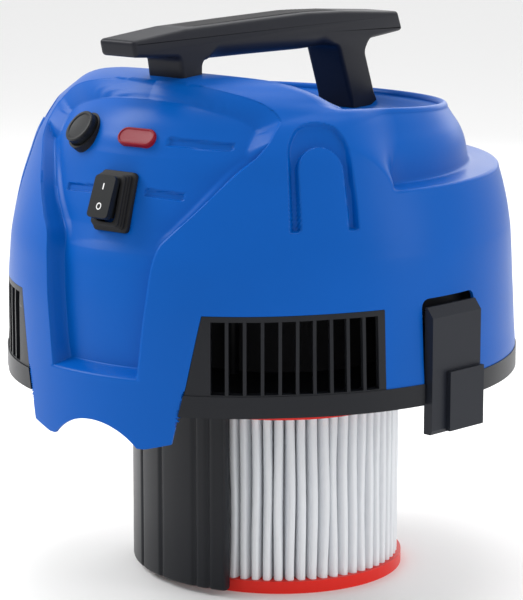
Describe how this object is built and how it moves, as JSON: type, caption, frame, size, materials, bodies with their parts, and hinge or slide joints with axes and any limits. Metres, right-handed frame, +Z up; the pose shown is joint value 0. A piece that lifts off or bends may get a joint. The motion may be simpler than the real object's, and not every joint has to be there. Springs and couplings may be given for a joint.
{
  "type": "shop vacuum",
  "caption": "Motor head of a wet and dry shop vacuum: round cover with carry handle, sloped control panel, side vents and latches, and a pleated cartridge filter with a baffle below",
  "frame": {"origin": "middle of the underside of the filter's bottom cap, on the motor and filter axis, where the head stands", "axes": "+Z up along the motor axis, -Y towards the control panel, +X to the panel's right as seen from above with the panel facing the viewer's side -Y"},
  "size_m": [0.3902, 0.3854, 0.4126],
  "materials": {
    "blue_cover": "satin moulded polypropylene, vivid blue, very fine texture",
    "black_housing": "satin black moulded polypropylene",
    "black_latch": "satin black moulded plastic",
    "black_handle": "matt black moulded plastic",
    "soft_grip": "soft black grip strip",
    "seal_rubber": "black rubber",
    "steel_screws": "zinc plated steel",
    "red_cap": "red moulded polyurethane",
    "filter_paper": "white pleated filter paper",
    "filter_core": "white moulded plastic",
    "float_white": "white moulded plastic",
    "plated_steel": "pressed zinc plated steel",
    "cast_aluminium": "die cast aluminium",
    "inner_black": "black moulded plastic",
    "bearing_steel": "ground steel",
    "lamination_steel": "stacked electrical steel",
    "copper_wire": "varnished copper",
    "brass_holder": "brass",
    "carbon": "pressed carbon",
    "foam": "grey sound foam",
    "black_switch": "satin black moulded plastic",
    "red_badge": "dark red moulded plastic",
    "terminal_white": "white moulded nylon"
  },
  "bodies": {
    "frame": {"top_cover": "blue_cover", "base_housing": "black_housing", "tank_gasket": "seal_rubber", "cover_screws": "steel_screws", "latch_pin_right": "steel_screws", "latch_pin_left": "steel_screws", "handle": "black_handle", "handle_inlay": "soft_grip", "handle_screws": "steel_screws", "float_cage": "black_housing", "cage_screws": "steel_screws", "inlet_baffle": "black_housing", "lower_motor_seal": "seal_rubber", "impeller_case": "plated_steel", "diffuser": "inner_black", "lower_bracket": "cast_aluminium", "lower_bearing": "bearing_steel", "stator": "lamination_steel", "field_coils": "copper_wire", "upper_bracket": "cast_aluminium", "upper_bearing": "bearing_steel", "brush_holders": "brass_holder", "carbon_brushes": "carbon", "motor_shroud": "inner_black", "shroud_screws": "steel_screws", "case_foam": "foam", "upper_motor_seal": "seal_rubber", "switch_boot": "seal_rubber", "switch_body": "inner_black", "rocker_pin": "steel_screws", "button_guide": "inner_black", "button_spring": "steel_screws", "filter_badge": "red_badge", "cord_gland": "black_housing", "terminal_block": "terminal_white"},
    "latch_right": {"latch_right": "black_latch"},
    "latch_left": {"latch_left": "black_latch"},
    "rocker": {"rocker": "black_switch"},
    "button": {"clean_button": "black_switch", "valve_stem": "inner_black", "valve_disc": "seal_rubber"},
    "rotor": {"impeller": "cast_aluminium", "armature": "lamination_steel", "armature_windings": "copper_wire", "commutator": "copper_wire", "shaft": "bearing_steel", "impeller_nut": "steel_screws", "cooling_fan": "inner_black"},
    "float": {"float_cup": "float_white", "float_seal": "seal_rubber"},
    "filter": {"filter_end_cap": "red_cap", "filter_top_ring": "red_cap", "filter_media": "filter_paper", "filter_core": "filter_core"}
  },
  "joints": [
    {"name": "latch_right_hinge", "type": "hinge", "parent": "frame", "child": "latch_right", "pos_m": [0.17301, -0.04478, 0.219], "axis": [-0.1305, -0.9914, 0], "range_deg": [0, 40]},
    {"name": "latch_left_hinge", "type": "hinge", "parent": "frame", "child": "latch_left", "pos_m": [-0.17301, -0.04478, 0.219], "axis": [-0.1305, 0.9914, 0], "range_deg": [0, 40]},
    {"name": "rocker_hinge", "type": "hinge", "parent": "frame", "child": "rocker", "pos_m": [0, -0.19115, 0.2991], "axis": [1, 0, 0], "range_deg": [0, 12]},
    {"name": "button_press", "type": "slide", "parent": "frame", "child": "button", "axis": [0.2409, 0.7503, -0.6157], "range_m": [0, 0.005], "stiffness_N_per_m": 600, "springref_m": -0.003, "deforming": ["button_spring"]},
    {"name": "rotor_spin", "type": "hinge", "parent": "frame", "child": "rotor", "pos_m": [0, 0, 0.25], "axis": [0, 0, 1], "continuous": true},
    {"name": "float_lift", "type": "slide", "parent": "frame", "child": "float", "axis": [0, 0, 1], "range_m": [0, 0.032]},
    {"name": "filter_off", "type": "slide", "parent": "frame", "child": "filter", "axis": [0, 0, -1], "range_m": [0, 0.16]}
  ]
}
